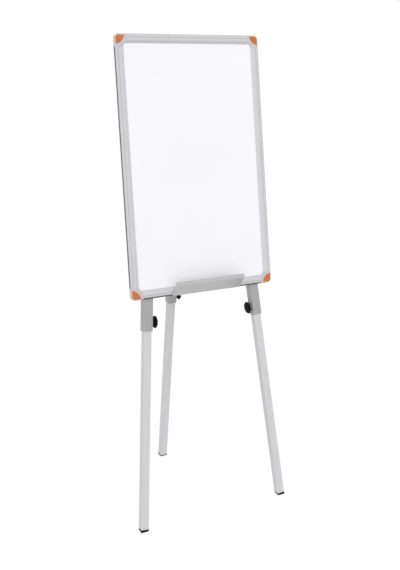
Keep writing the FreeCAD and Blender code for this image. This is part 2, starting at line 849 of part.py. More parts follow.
def saddle(label, frame):
    """Bent strap over the tube with a screwed flange on each side. y points away from the rail."""
    body = new_body(label)
    section = sketch_on(body, "XY_Plane")
    reach = "(saddle_outside + saddle_flange)"
    top = "(saddle_height + saddle_gauge)"
    outline(
        section,
        [
            (f"-{reach}", "0"),
            ("-saddle_inside", "0"),
            ("-saddle_inside", "saddle_height"),
            ("saddle_inside", "saddle_height"),
            ("saddle_inside", "0"),
            (reach, "0"),
            (reach, "saddle_gauge"),
            ("saddle_outside", "saddle_gauge"),
            ("saddle_outside", top),
            ("-saddle_outside", top),
            ("-saddle_outside", "saddle_gauge"),
            (f"-{reach}", "saddle_gauge"),
        ],
    )
    strap = feature(body, "Pad", section, "saddle_width", both=True)
    inside = [Vector(sign * size["saddle_inside"], size["saddle_height"], 0) for sign in (-1, 1)]
    outside = [Vector(sign * size["saddle_outside"], worth(top), 0) for sign in (-1, 1)]
    upright = Vector(0, 0, 1)
    strap = dress(body, "Fillet", strap, lambda edge: along(edge, upright, inside), "saddle_bend")
    dress(body, "Fillet", strap, lambda edge: along(edge, upright, outside), "saddle_bend + saddle_gauge")
    drilled(body, "XZ_Plane", [("-saddle_screw", "0"), ("saddle_screw", "0")], "screw_hole", both=True)
    node(body, label, frame)


def leg(side, frame, length, mouth, inner, floor, inward, pivot=False):
    """One telescopic leg. The frame's z runs up the leg; mouth and floor are lengths below its origin."""
    lower = frame * at(0, 0, -size[mouth])
    outer_tube(f"outer_tube_{side}", lower, length, inward, pivot)
    guide_bush(f"guide_bush_{side}", lower, inward)
    tube_plug(f"tube_plug_{side}", lower * at(0, 0, size[length]))
    clamp(side, lower * at(0, 0, size["clamp_rise"]) * turned(Y_AXIS, 90 * inward))
    end = frame * at(0, 0, size["foot_sole"] - size[floor])
    inner_tube(f"inner_tube_{side}", end, inner)
    inner_glide(f"inner_glide_{side}", end * at(0, 0, size[inner]))
    foot(f"foot_{side}", end)


leg("left", LEGS["left"], "tube_length", "tube_drop", "inner_length", "leg_floor", 1)
leg("right", LEGS["right"], "tube_length", "tube_drop", "inner_length", "leg_floor", -1)
leg("rear", REAR, "rear_tube_length", "pivot_hang", "rear_inner_length", "rear_floor", 1, pivot=True)
for side, frame in LEGS.items():
    for place, height in (("upper", "saddle_high"), ("lower", "saddle_low")):
        saddle(f"saddle_{place}_{side}", frame * at(0, -size["tube_size"] / 2, size[height]))


# Rear hinge: a bracket with two ears on the top rail, a bolt and a sleeve through the rear tube


def hinge_bracket():
    body = new_body("hinge_bracket")
    base = sketch_on(body, "XY_Plane")
    half = "bracket_width / 2"
    outline(base, [(f"-{half}", "0"), (half, "0"), (half, "bracket_gauge"), (f"-{half}", "bracket_gauge")])
    feature(body, "Pad", base, "2 * ear_radius", both=True)
    for offset in ("ear_inside", "-ear_outside"):
        ear = sketch_on(body, "YZ_Plane", offset)
        outline(
            ear,
            [
                ("0", "-ear_radius"),
                ("pivot_stand", "-ear_radius", "ear_radius"),
                ("pivot_stand + ear_radius", "0", "ear_radius"),
                ("pivot_stand", "ear_radius"),
                ("0", "ear_radius"),
            ],
        )
        feature(body, "Pad", ear, "bracket_gauge")
    drilled(body, "YZ_Plane", [("pivot_stand", "0")], "bolt_hole", both=True)
    drilled(body, "XZ_Plane", [(x, "0") for x in hinge_offsets], "screw_hole", both=True)
    node(body, "hinge_bracket", BOARD * at(0, size["rail_back"], size["pivot_rise"]))


def round_bar(label, diameter, length, start):
    bar = doc.addObject("Part::Cylinder", label)
    bar.setExpression("Radius", tied(f"({diameter}) / 2"))
    bar.setExpression("Height", tied(length))
    bar.setExpression("Placement.Base.z", tied(start))
    return bar


def hexagon(label, length, start):
    prism = doc.addObject("Part::Prism", label)
    prism.Polygon = 6
    prism.setExpression("Circumradius", tied("bolt_flats / 2 / cos(30)"))
    prism.setExpression("Height", tied(length))
    prism.setExpression("Placement.Base.z", tied(start))
    return prism


def boolean(kind, label, base, tool):
    result = doc.addObject(f"Part::{kind}", label)
    result.Base = base
    result.Tool = tool
    return result


def hinge_hardware():
    across = PIVOT * turned(Y_AXIS, 90)
    head = hexagon("bolt_head_blank", "bolt_head", "-bolt_seat - bolt_head")
    shank = round_bar("bolt_shank", "bolt_dia", "2 * bolt_seat + bolt_nut + bolt_end", "-bolt_seat")
    node(boolean("Fuse", "hinge_bolt", head, shank), "hinge_bolt", across)
    blank = hexagon("bolt_nut_blank", "bolt_nut", "bolt_seat")
    bore = round_bar("bolt_nut_bore", "bolt_hole", "bolt_nut", "bolt_seat")
    node(boolean("Cut", "hinge_nut", blank, bore), "hinge_nut", across)
    outer = round_bar("sleeve_outer", "sleeve_dia", "tube_size + 2 * sleeve_stand", "-tube_size / 2 - sleeve_stand")
    inner = round_bar("sleeve_inner", "bolt_hole", "tube_size + 2 * sleeve_stand", "-tube_size / 2 - sleeve_stand")
    node(boolean("Cut", "hinge_sleeve", outer, inner), "hinge_sleeve", across)
    washers = doc.addObject("Part::Feature", "hinge_washers")
    rings = []
    for start in (-size["bolt_seat"], size["ear_outside"]):
        place = Vector(0, 0, start)
        ring = Part.makeCylinder(size["washer_dia"] / 2, size["washer_gauge"], place)
        rings.append(ring.cut(Part.makeCylinder(size["bolt_hole"] / 2, size["washer_gauge"], place)))
    washers.Shape = Part.makeCompound(rings)
    node(washers, "hinge_washers", across)


hinge_bracket()
hinge_hardware()

doc.recompute()
failed = [thing.Label for thing in doc.Objects if {"Invalid", "Error"} & set(thing.State)]
failed += [label for label, thing in nodes.items() if thing.Shape.isNull() or not thing.Shape.isValid()]
if failed:
    raise RuntimeError(f"not built: {failed}")
os.makedirs("parts", exist_ok=True)
for label, thing in nodes.items():
    thing.Shape.exportStep(f"parts/{label}.step")
print(f"{len(nodes)} sub-parts written")
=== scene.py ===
import math

import bmesh
import bpy
from mathutils import Matrix, Vector


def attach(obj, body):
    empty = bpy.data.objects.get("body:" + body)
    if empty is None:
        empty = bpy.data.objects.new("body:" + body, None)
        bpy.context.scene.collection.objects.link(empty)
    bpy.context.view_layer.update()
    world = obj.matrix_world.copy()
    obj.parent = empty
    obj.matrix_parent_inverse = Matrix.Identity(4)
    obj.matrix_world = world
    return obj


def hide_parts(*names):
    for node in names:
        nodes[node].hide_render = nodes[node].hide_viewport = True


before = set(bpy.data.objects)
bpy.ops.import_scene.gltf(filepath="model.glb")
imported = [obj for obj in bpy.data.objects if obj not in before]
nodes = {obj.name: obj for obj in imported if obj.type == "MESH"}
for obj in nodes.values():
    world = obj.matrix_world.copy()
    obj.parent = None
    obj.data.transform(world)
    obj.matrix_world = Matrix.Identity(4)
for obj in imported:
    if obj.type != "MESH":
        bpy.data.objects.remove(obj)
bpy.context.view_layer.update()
print("easel loaded:", len(nodes), "nodes")

# stance of the easel, metres and degrees
stance = {
    "lean": 7.9,  # the board leans back
    "splay": 4.8,  # each front leg goes out
    "rearAngle": 15.75,  # between the board and the rear leg
    "boardFoot": (0, -0.163684, 0.885),  # middle of the board's bottom edge
    "legHead": (0.2303, 0.02635, 0),  # where a front leg crosses that edge
    "pivot": (0, 0.033289, 0.9825),  # rear hinge, on the board
    "boardWidth": 0.612,
    "boardHeight": 1.0,
    "tubeDrop": 0.126,  # front outer tubes below that edge
    "rearHang": 1.11,  # rear outer tube below the hinge
    "legFloor": 0.892955,  # along a front leg, from that edge to the floor
    "rearFloor": 1.871134,  # along the rear leg, from the hinge to the floor
}
sides = ("left", "right", "rear")


def shift(x, y, z):
    return Matrix.Translation((x, y, z))


def turn(axis, angle):
    return Matrix.Rotation(math.radians(angle), 4, axis)


boardFrame = shift(*stance["boardFoot"]) @ turn("X", -stance["lean"])
legFrames = {}
for side, sign in (("left", -1), ("right", 1)):
    across, depth, up = stance["legHead"]
    legFrames[side] = boardFrame @ shift(sign * across, depth, up) @ turn("Y", -sign * stance["splay"])
pivotFrame = boardFrame @ shift(*stance["pivot"])
legFrames["rear"] = pivotFrame @ turn("X", stance["rearAngle"])


# shader sockets that take part in Python maths
class Wire:
    def __init__(self, finish, socket):
        self.finish = finish
        self.socket = socket

    def maths(self, operation, first, second):
        return self.finish.add("ShaderNodeMath", {"operation": operation}, {0: first, 1: second})

    def __add__(self, other):
        return self.maths("ADD", self, other)

    def __sub__(self, other):
        return self.maths("SUBTRACT", self, other)

    def __rsub__(self, other):
        return self.maths("SUBTRACT", other, self)

    def __mul__(self, other):
        return self.maths("MULTIPLY", self, other)

    def __abs__(self):
        return self.maths("ABSOLUTE", self, 0)

    __radd__ = __add__
    __rmul__ = __mul__


class Finish:
    noiseRange = (0.3, 0.7)  # where most of a noise texture's values lie

    def __init__(self, name):
        self.material = bpy.data.materials.new(name)
        self.material.use_nodes = True
        self.tree = self.material.node_tree
        self.shader = next(node for node in self.tree.nodes if node.type == "BSDF_PRINCIPLED")

    def feed(self, socket, value):
        if isinstance(value, Wire):
            self.tree.links.new(value.socket, socket)
        else:
            socket.default_value = value

    def add(self, kind, settings=None, sockets=None, out=0):
        node = self.tree.nodes.new(kind)
        for key, value in (settings or {}).items():
            setattr(node, key, value)
        for key, value in (sockets or {}).items():
            self.feed(node.inputs[key], value)
        return Wire(self, node.outputs[out])

    def surface(self, sockets):
        for key, value in sockets.items():
            self.feed(self.shader.inputs[key], value)
        return self.material

    # place on the object, in a piece's own frame, counted in grains of the given size
    def place(self, local, grain=(1, 1, 1)):
        sockets = {
            "Vector": self.add("ShaderNodeTexCoord", out="Object"),
            "Location": local.to_translation(),
            "Rotation": local.to_euler(),
            "Scale": grain,
        }
        return self.add("ShaderNodeMapping", {"vector_type": "TEXTURE"}, sockets)

    def split(self, vector, axis):
        return self.add("ShaderNodeSeparateXYZ", None, {"Vector": vector}, axis)

    def noise(self, local, grain, detail=2.0, warp=0.0):
        size = (grain,) * 3 if isinstance(grain, (int, float)) else grain
        sockets = {"Vector": self.place(local, size), "Scale": 1.0, "Detail": detail, "Distortion": warp}
        return self.add("ShaderNodeTexNoise", None, sockets)

    def ramp(self, value, low, high, first=0.0, last=1.0):
        sockets = {"Value": value, "From Min": low, "From Max": high, "To Min": first, "To Max": last}
        return self.add("ShaderNodeMapRange", {"interpolation_type": "SMOOTHSTEP"}, sockets)

    def spread(self, value):
        return self.ramp(value, *self.noiseRange)

    # inputs 6 and 7 and output 2 are the Mix node's colours
    def blend(self, share, first, second):
        colours = [(*tone, 1) if isinstance(tone, tuple) else tone for tone in (first, second)]
        return self.add("ShaderNodeMix", {"data_type": "RGBA"}, {0: share, 6: colours[0], 7: colours[1]}, 2)

    # one colour between a darker and a lighter gain of itself
    def swing(self, share, colour, gains):
        dark, light = (tuple(part * gain for part in colour) for gain in gains)
        return self.blend(share, dark, light)

    def bump(self, height, depth, strength=1.0):
        return self.add("ShaderNodeBump", None, {"Height": height, "Distance": depth, "Strength": strength})


def mixed(first, second, share):
    return share * first + (1 - share) * second


# gloss enamel of the writing sheet, with dry wipe marks that only the gloss shows
enamel = {
    "colour": (0.92, 0.916, 0.955),
    "gains": (0.985, 1.0),
    "cloudGrain": 0.35,
    "gloss": 0.2,
    "wipe": 0.05,  # gloss lost in a wipe mark
    "wipeGrain": (0.22, 1.0, 0.05),
    "wipeRange": (0.42, 0.75),
    "peelGrain": 0.004,
    "peelDepth": 0.00006,
    "coat": 0.25,
    "coatGloss": 0.12,
}


def makeEnamel():
    paint = Finish("gloss white enamel")
    wipes = paint.noise(boardFrame, enamel["wipeGrain"], detail=4.0, warp=1.2)
    cloud = paint.noise(boardFrame, enamel["cloudGrain"])
    peel = paint.noise(boardFrame, enamel["peelGrain"], detail=1.0)
    sockets = {
        "Base Color": paint.swing(paint.spread(cloud), enamel["colour"], enamel["gains"]),
        "Roughness": enamel["gloss"] + enamel["wipe"] * paint.ramp(wipes, *enamel["wipeRange"]),
        "Normal": paint.bump(peel, enamel["peelDepth"], strength=0.5),
        "Coat Weight": enamel["coat"],
        "Coat Roughness": enamel["coatGloss"],
    }
    return paint.surface(sockets)


# satin anodised rails, drawn lengthwise, with painted shade along the groove, on the outer wall, over the
# bottom rail's lower bevel and on the top rail's inner slope
railMetal = {
    "colour": (0.62, 0.614, 0.642),
    "gains": (0.96, 1.04),
    "line": 0.0006,
    "lineLength": 0.4,
    "lineDepth": 0.00004,
    "lineShare": 0.55,  # of the tone, the rest is cloud
    "cloudGrain": 0.09,
    "grooveStart": 0.0115,  # from the outer edge
    "grooveEnd": 0.0141,
    "slopeStart": 0.024,
    "blur": 0.0004,
    "wallFull": 0.8,  # share of the wall that has its full tone
    "metal": 0.08,
    "gloss": 0.42,
    "dull": 0.14,  # gloss lost along the lines
    "shine": 0.3,
}
# the wall, groove and slope tones below are painted shade, not tones of the metal
railKinds = {
    "upright rail": {
        "axis": "X",
        "wall": (0.16, 0.163, 0.17),
        "wallReach": 0.002,
        "groove": (0.52, 0.523, 0.537),
    },
    "top rail": {
        "axis": "Z",
        "wall": (0.16, 0.163, 0.17),
        "wallReach": 0.0008,
        "groove": (0.52, 0.523, 0.537),
        # painted shade: the top rail's inner slope, which faces down, made darker
        "slope": (0.53, 0.522, 0.55),
    },
    "bottom rail": {
        "axis": "Z",
        "wall": (0.085, 0.087, 0.09),
        "wallReach": 0.0068,
        "groove": (0.43, 0.433, 0.447),
    },
}


def makeRailMetal(name):
    kind = railKinds[name]
    upright = kind["axis"] == "X"
    line, length = railMetal["line"], railMetal["lineLength"]
    grain = (line, line, length) if upright else (length, line, line)
    reach = (stance["boardWidth"] if upright else stance["boardHeight"]) / 2
    middle = 0.0 if upright else reach
    near, far, blur = railMetal["grooveStart"], railMetal["grooveEnd"], railMetal["blur"]
    paint = Finish(f"{name} metal")
    lines = paint.noise(boardFrame, grain, detail=3.0)
    cloud = paint.noise(boardFrame, railMetal["cloudGrain"], detail=3.0)
    off = reach - abs(paint.split(paint.place(boardFrame), kind["axis"]) - middle)
    # painted shade: a dark strip on the outer wall, on the bottom rail a wider dark band over the lower
    # bevel
    wall = paint.ramp(off, kind["wallReach"] * railMetal["wallFull"], kind["wallReach"], 1.0, 0.0)
    # painted shade: a darker line along the shallow groove
    groove = paint.ramp(off, near - blur, near + blur) * paint.ramp(off, far - blur, far + blur, 1.0, 0.0)
    tone = paint.spread(mixed(lines, cloud, railMetal["lineShare"]))
    skin = paint.swing(tone, railMetal["colour"], railMetal["gains"])
    # painted shade in the groove laid over the metal
    skin = paint.blend(groove, skin, kind["groove"])
    # painted shade on the top rail's downward-facing inner slope
    if "slope" in kind:
        start = railMetal["slopeStart"]
        skin = paint.blend(paint.ramp(off, start - blur, start + blur), skin, kind["slope"])
    sockets = {
        # painted shade of the outer wall laid over the metal
        "Base Color": paint.blend(wall, skin, kind["wall"]),
        "Metallic": railMetal["metal"],
        "Roughness": railMetal["gloss"] + railMetal["dull"] * lines,
        "Specular IOR Level": railMetal["shine"],
        "Normal": paint.bump(lines, railMetal["lineDepth"], strength=0.6),
    }
    return paint.surface(sockets)


# moulded plastics: a fine eroded texture and slow changes of tone
moulding = {"gains": (0.93, 1.06), "gritShare": 0.35, "cloudGrain": 0.018, "dull": 0.16, "shine": 0.5}
plastics = {
    "corner grey plastic": {
        "colour": (0.56, 0.552, 0.567),
        "gloss": 0.46,
        "grain": 0.0007,
        "depth": 0.00004,
    },
    "cap orange plastic": {
        "colour": (0.585, 0.155, 0.032),
        "gloss": 0.4,
        "grain": 0.0009,
        "depth": 0.00003,
    },
    "knob black plastic": {
        "colour": (0.005, 0.005, 0.0055),
        "gloss": 0.5,
        "grain": 0.0006,
        "depth": 0.00005,
        "shine": 0.06,
    },
    "nylon grey": {
        "colour": (0.11, 0.112, 0.115),
        "gloss": 0.34,
        "grain": 0.0011,
        "depth": 0.00002,
    },
}


def makePlastic(name):
    mix = plastics[name]
    paint = Finish(name)
    grit = paint.noise(boardFrame, mix["grain"])
    cloud = paint.noise(boardFrame, moulding["cloudGrain"], detail=3.0)
    tone = paint.spread(mixed(grit, cloud, moulding["gritShare"]))
    sockets = {
        "Base Color": paint.swing(tone, mix["colour"], moulding["gains"]),
        "Roughness": mix["gloss"] + moulding["dull"] * cloud,
        "Normal": paint.bump(grit, mix["depth"]),
        "Specular IOR Level": mix.get("shine", moulding["shine"]),
    }
    return paint.surface(sockets)


# powder coats: orange peel, with a little bare metal where a cut edge rubs
powder = {
    "vary": 0.05,
    "peelShare": 0.3,
    "peelDepth": 0.00006,
    "cloudGrain": (0.03, 0.03, 0.12),
    "dull": 0.12,
    "bare": (0.62, 0.63, 0.645),
    "bareShare": 0.75,
    "bareReach": 0.0016,  # from the cut edge
    "bareWander": 0.0012,
    "bareGrain": 0.002,
}
coats = {
    "tray grey coat": {
        "colour": (0.525, 0.525, 0.53),
        # painted light: the tray's inside paler than its outside, so it lifts the shade the tray casts on
        # the board above
        "inside": (0.82, 0.82, 0.825),
        "gloss": 0.4,
        "peel": 0.0022,
        "metal": 0.8,
        "vary": 0.015,
    },
    "bracket grey coat": {"colour": (0.40, 0.40, 0.408), "gloss": 0.4, "peel": 0.0018},
    "tube grey coat": {"colour": (0.383, 0.38, 0.384), "gloss": 0.4, "peel": 0.0016},
}

# section of the tray in the board's frame: base under the rail, slope and lip
trayForm = {"foot": 0.0015, "slope": 43.5, "inside": 0.0455, "gauge": 0.0015, "blurShares": (-0.7, -0.3)}


# inside of the tray, which lies past the middle of the sheet in all three stretches
def insideTray(paint):
    spot = paint.place(boardFrame)
    depth, height = paint.split(spot, "Y"), paint.split(spot, "Z")
    slope = math.radians(trayForm["slope"])
    pastSlope = math.sin(slope) * (depth + trayForm["foot"]) + math.cos(slope) * height
    low, high = (share * trayForm["gauge"] for share in trayForm["blurShares"])
    inside = 1.0
    for past in (height, pastSlope, depth + trayForm["inside"]):
        inside = inside * paint.ramp(past, low, high)
    return inside


def makeCoat(name, kind, local, cutEdge=None):
    mix = coats[kind]
    paint = Finish(name)
    peel = paint.noise(local, mix["peel"])
    cloud = paint.noise(local, powder["cloudGrain"], detail=3.0)
    tone = paint.spread(mixed(peel, cloud, powder["peelShare"]))
    vary = mix.get("vary", powder["vary"])
    skin = paint.swing(tone, mix["colour"], (1 - vary, 1 + vary))
    # painted light: the inside of the tray paler, lifting the shade on the board above it
    if "inside" in mix:
        skin = paint.blend(insideTray(paint), skin, mix["inside"])
    if cutEdge is not None:
        reach = powder["bareReach"]
        wander = powder["bareWander"] * paint.noise(local, powder["bareGrain"], detail=3.0)
        off = abs(paint.split(paint.place(local), "Z") - cutEdge) + wander
        bare = paint.ramp(off, reach / 2, reach, powder["bareShare"], 0.0)
        skin = paint.blend(bare, skin, powder["bare"])
    sockets = {
        "Base Color": skin,
        "Metallic": mix.get("metal", 0.0),
        "Roughness": mix["gloss"] + powder["dull"] * cloud,
        "Normal": paint.bump(peel, powder["peelDepth"], strength=0.7),
    }
    return paint.surface(sockets)


# inner tubes: satin silver with draw lines and the tracks of the clamp and the bush
slideMetal = {
    "colour": (0.63, 0.627, 0.647),
    "gains": (0.96, 1.03),
    "lineGrain": (0.0007, 0.0007, 0.4),
    "lineDepth": 0.00003,
    "lineShare": 0.5,
    "lineDull": 0.1,
    "cloudGrain": (0.02, 0.02, 0.15),
    "track": (0.52, 0.525, 0.535),
    "trackGrain": (0.0012, 0.0012, 0.09),
    "trackRange": (0.62, 0.8),
    "trackShare": 0.25,
    "trackDull": 0.12,
    "trackDullRange": (0.6, 0.8),
    "metal": 0.12,
    "gloss": 0.4,
}


def makeSlideMetal(name, local):
    plan = slideMetal
    paint = Finish(name)
    lines = paint.noise(local, plan["lineGrain"], detail=3.0)
    cloud = paint.noise(local, plan["cloudGrain"], detail=3.0)
    track = paint.noise(local, plan["trackGrain"], warp=0.3)
    tone = paint.spread(mixed(lines, cloud, plan["lineShare"]))
    skin = paint.swing(tone, plan["colour"], plan["gains"])
    worn = paint.ramp(track, *plan["trackRange"], 0.0, plan["trackShare"])
    dull = plan["lineDull"] * lines + plan["trackDull"] * paint.ramp(track, *plan["trackDullRange"])
    sockets = {
        "Base Color": paint.blend(worn, skin, plan["track"]),
        "Metallic": plan["metal"],
        "Roughness": plan["gloss"] + dull,
        "Normal": paint.bump(lines, plan["lineDepth"], strength=0.5),
    }
    return paint.surface(sockets)


# bright zinc on screws, nuts, studs, washers, sleeve and bolt
zinc = {
    "colour": (0.63, 0.64, 0.655),
    "gains": (0.86, 1.08),
    "patchGrain": 0.0025,
    "patchShare": 0.6,
    "fineGrain": 0.0004,
    "fineDepth": 0.00002,
    "gloss": 0.26,
    "dull": 0.18,
}


def makeZinc():
    paint = Finish("bright zinc plate")
    patch = paint.noise(boardFrame, zinc["patchGrain"], detail=3.0)
    fine = paint.noise(boardFrame, zinc["fineGrain"])
    tone = paint.spread(mixed(patch, fine, zinc["patchShare"]))
    sockets = {
        "Base Color": paint.swing(tone, zinc["colour"], zinc["gains"]),
        "Metallic": 1.0,
        "Roughness": zinc["gloss"] + zinc["dull"] * patch,
        "Normal": paint.bump(fine, zinc["fineDepth"], strength=0.6),
    }
    return paint.surface(sockets)


# rubber feet, dusty where they meet the floor
rubber = {
    "colour": (0.006, 0.006, 0.0065),
    "gains": (0.8, 1.3),
    "gritGrain": 0.0008,
    "gritDepth": 0.00006,
    "patchGrain": 0.006,
    "dust": (0.05, 0.049, 0.047),
    "dustReach": 0.004,
    "dustShares": (0.5, 0.04),  # at the floor and above the reach
    "dustRange": (0.35, 0.7),
    "gloss": 0.62,
    "dull": 0.2,
    "shine": 0.1,
}


def makeRubber():
    paint = Finish("foot rubber")
    whole = Matrix.Identity(4)
    grit = paint.noise(whole, rubber["gritGrain"], detail=3.0)
    patch = paint.noise(whole, rubber["patchGrain"], detail=3.0)
    height = paint.split(paint.place(whole), "Z")
    low = paint.ramp(height, 0.0, rubber["dustReach"], *rubber["dustShares"])
    skin = paint.swing(patch, rubber["colour"], rubber["gains"])
    sockets = {
        "Base Color": paint.blend(low * paint.ramp(patch, *rubber["dustRange"]), skin, rubber["dust"]),
        "Roughness": rubber["gloss"] + rubber["dull"] * grit,
        "Normal": paint.bump(grit, rubber["gritDepth"]),
        "Specular IOR Level": rubber["shine"],
    }
    return paint.surface(sockets)


# pressed board core, with short fibres
core = {
    "dark": (0.25, 0.17, 0.10),
    "light": (0.42, 0.30, 0.18),
    "fibreGrain": (0.004, 0.0006, 0.0009),
    "fibreRange": (0.35, 0.7),
    "fibreDepth": 0.00012,
    "gloss": 0.8,
    "dull": 0.15,
}


def makeCore():
    paint = Finish("pressed board core")
    fibres = paint.noise(boardFrame, core["fibreGrain"], detail=4.0, warp=0.6)
    sockets = {
        "Base Color": paint.blend(paint.ramp(fibres, *core["fibreRange"]), core["dark"], core["light"]),
        "Roughness": core["gloss"] + core["dull"] * fibres,
        "Normal": paint.bump(fibres, core["fibreDepth"]),
    }
    return paint.surface(sockets)


# back sheet: zinc coated steel with a faint spangle
backSteel = {
    "colour": (0.50, 0.51, 0.525),
    "gains": (0.9, 1.09),
    "spangle": 0.011,
    "spangleShare": 0.6,
    "cloudGrain": 0.12,
    "cloudDepth": 0.0001,
    "metal": 0.45,
    "gloss": 0.42,
    "dull": 0.1,
}


def makeBackSteel():
    paint = Finish("spangled back sheet")
    sockets = {"Vector": paint.place(boardFrame, (backSteel["spangle"],) * 3), "Scale": 1.0}
    cell = paint.split(paint.add("ShaderNodeTexVoronoi", {"feature": "F1"}, sockets, "Color"), "X")
    cloud = paint.noise(boardFrame, backSteel["cloudGrain"], detail=3.0)
    tone = mixed(cell, cloud, backSteel["spangleShare"])
    sockets = {
        "Base Color": paint.swing(tone, backSteel["colour"], backSteel["gains"]),
        "Metallic": backSteel["metal"],
        "Roughness": backSteel["gloss"] + backSteel["dull"] * cell,
        "Normal": paint.bump(cloud, backSteel["cloudDepth"], strength=0.3),
    }
    return paint.surface(sockets)


def coat(label, material):
    for slot in nodes[label].material_slots:
        slot.material = material


uprightMetal = makeRailMetal("upright rail")
cornerPlastic = makePlastic("corner grey plastic")
capPlastic = makePlastic("cap orange plastic")
blackPlastic = makePlastic("knob black plastic")
nylon = makePlastic("nylon grey")
bracketCoat = makeCoat("bracket coat", "bracket grey coat", boardFrame)
zincPlate = makeZinc()
footRubber = makeRubber()

coat("writing_sheet", makeEnamel())
coat("board_core", makeCore())
coat("back_sheet", makeBackSteel())
coat("pen_tray", makeCoat("tray coat", "tray grey coat", boardFrame))
coat("hinge_bracket", bracketCoat)
for hand in ("left", "right"):
    coat(f"{hand}_rail", uprightMetal)
    for edge in ("top", "bottom"):
        coat(f"corner_{edge}_{hand}", cornerPlastic)
        coat(f"cap_{edge}_{hand}", capPlastic)
    for level in ("upper", "lower"):
        coat(f"saddle_{level}_{hand}", bracketCoat)
for edge in ("top", "bottom"):
    coat(f"{edge}_rail", makeRailMetal(f"{edge} rail"))
for group in ("corner", "saddle", "hinge", "tray"):
    coat(f"{group}_screws", zincPlate)
for label in ("hinge_bolt", "hinge_nut", "hinge_washers", "hinge_sleeve"):
    coat(label, zincPlate)
for side in sides:
    local = legFrames[side]
    mouth = -stance["rearHang"] if side == "rear" else -stance["tubeDrop"]
    coat(f"outer_tube_{side}", makeCoat(f"outer tube coat {side}", "tube grey coat", local, mouth))
    coat(f"inner_tube_{side}", makeSlideMetal(f"inner tube silver {side}", local))
    coat(f"foot_{side}", footRubber)
    for label in ("clamp_knob", "tube_plug"):
        coat(f"{label}_{side}", blackPlastic)
    for label in ("guide_bush", "inner_glide", "clamp_tip"):
        coat(f"{label}_{side}", nylon)
    for label in ("clamp_nut", "clamp_stud"):
        coat(f"{label}_{side}", zincPlate)
print("finishes on the easel's nodes")

# modelling helpers: turned rings, picked parts, cuts and copies
modelling = {
    "touch": 1e-6,  # metres, taken as the same place
    "facing": 0.9,  # cosine past which a direction counts as met
    "past": 0.001,  # how far a drill reaches past the metal
    "smooth": 32,  # degrees, edges sharper than this stay sharp
}


def takeUp(piece):
    bpy.ops.object.select_all(action="DESELECT")
    piece.select_set(True)
    bpy.context.view_layer.objects.active = piece


# outward normals on the mesh in hand, and out of edit mode
def closeMesh():
    bpy.ops.mesh.select_all(action="SELECT")
    bpy.ops.mesh.normals_make_consistent(inside=False)
    bpy.ops.object.mode_set(mode="OBJECT")


# mesh in hand cut level at a height, filled there and cleared on one side
def trimLevel(height, **cleared):
    level = {"plane_co": (0, 0, height), "plane_no": (0, 0, 1), "use_fill": True}
    bpy.ops.mesh.select_all(action="SELECT")
    bpy.ops.mesh.bisect(threshold=modelling["touch"], **level, **cleared)


def roundEdges(width, steps):
    bpy.ops.mesh.bevel(offset=width, offset_type="OFFSET", segments=steps, profile=0.5, affect="EDGES")


def pushOut(way):
    bpy.ops.mesh.extrude_region_move(TRANSFORM_OT_translate={"value": way})


def turnedPiece(name, rings, segments):
    bpy.ops.object.select_all(action="DESELECT")
    radius, height = rings[0]
    bpy.ops.mesh.primitive_circle_add(
        vertices=segments, radius=radius, fill_type="NGON", location=(0, 0, height)
    )
    piece = bpy.context.active_object
    piece.name = name
    bpy.ops.object.transform_apply()
    bpy.ops.object.mode_set(mode="EDIT")
    for nextRadius, nextHeight in rings[1:]:
        pushOut((0, 0, nextHeight - height))
        share = nextRadius / radius
        bpy.ops.transform.resize(value=(share, share, 1), center_override=(0, 0, nextHeight))
        radius, height = nextRadius, nextHeight
    closeMesh()
    return piece


def rod(name, radius, start, end, segments):
    return turnedPiece(name, ((radius, start), (radius, end)), segments)


def pick(piece, kind, test):
    bpy.ops.mesh.select_mode(type=kind)
    bpy.ops.mesh.select_all(action="DESELECT")
    mesh = bmesh.from_edit_mesh(piece.data)
    mesh.normal_update()
    for part in {"VERT": mesh.verts, "EDGE": mesh.edges, "FACE": mesh.faces}[kind]:
        if test(part):
            part.select_set(True)
    mesh.select_flush_mode()
    bmesh.update_edit_mesh(piece.data)


def cutWith(piece, tool, operation="DIFFERENCE"):
    takeUp(piece)
    cut = piece.modifiers.new("cut", "BOOLEAN")
    cut.operation = operation
    cut.object = tool
    cut.solver = "EXACT"
    bpy.ops.object.modifier_apply(modifier=cut.name)
    bpy.data.objects.remove(tool, do_unlink=True)


def joined(pieces):
    takeUp(pieces[0])
    for piece in pieces[1:]:
        piece.select_set(True)
    if len(pieces) > 1:
        bpy.ops.object.join()
    return pieces[0]


# copies of a model, each with its own mesh, set in place and joined to one piece
def setOut(model, name, places):
    copies = []
    for place in places:
        copy = model.copy()
        copy.data = model.data.copy()
        bpy.context.scene.collection.objects.link(copy)
        copy.matrix_world = place
        takeUp(copy)
        bpy.ops.object.transform_apply()
        copies.append(copy)
    piece = joined(copies)
    piece.name = name
    return piece


def fitPiece(piece, body, node, material):
    takeUp(piece)
    bpy.ops.object.shade_smooth_by_angle(angle=math.radians(modelling["smooth"]))
    piece.data.materials.clear()
    piece.data.materials.append(material)
    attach(piece, body)
    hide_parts(node)


# pan head screws with a cross recess, z out of the head, lengths in metres
panScrew = {
    "rings": (
        (0.0002, -0.008), (0.00175, -0.00625), (0.00175, 0.0), (0.0036, 0.0), (0.0036, 0.001),
        (0.0034, 0.0015), (0.0028, 0.0019), (0.0018, 0.00215), (0.0006, 0.0022),
    ),
    "segments": 28,
    "slotWidth": 0.0009,
    "slotReach": 0.00165,  # each arm of the cross past its middle
    "slotDepth": 0.0016,
    "taper": 0.6,
    "top": 0.0022,
    "turnStep": 37,  # every screw stops at another angle
}


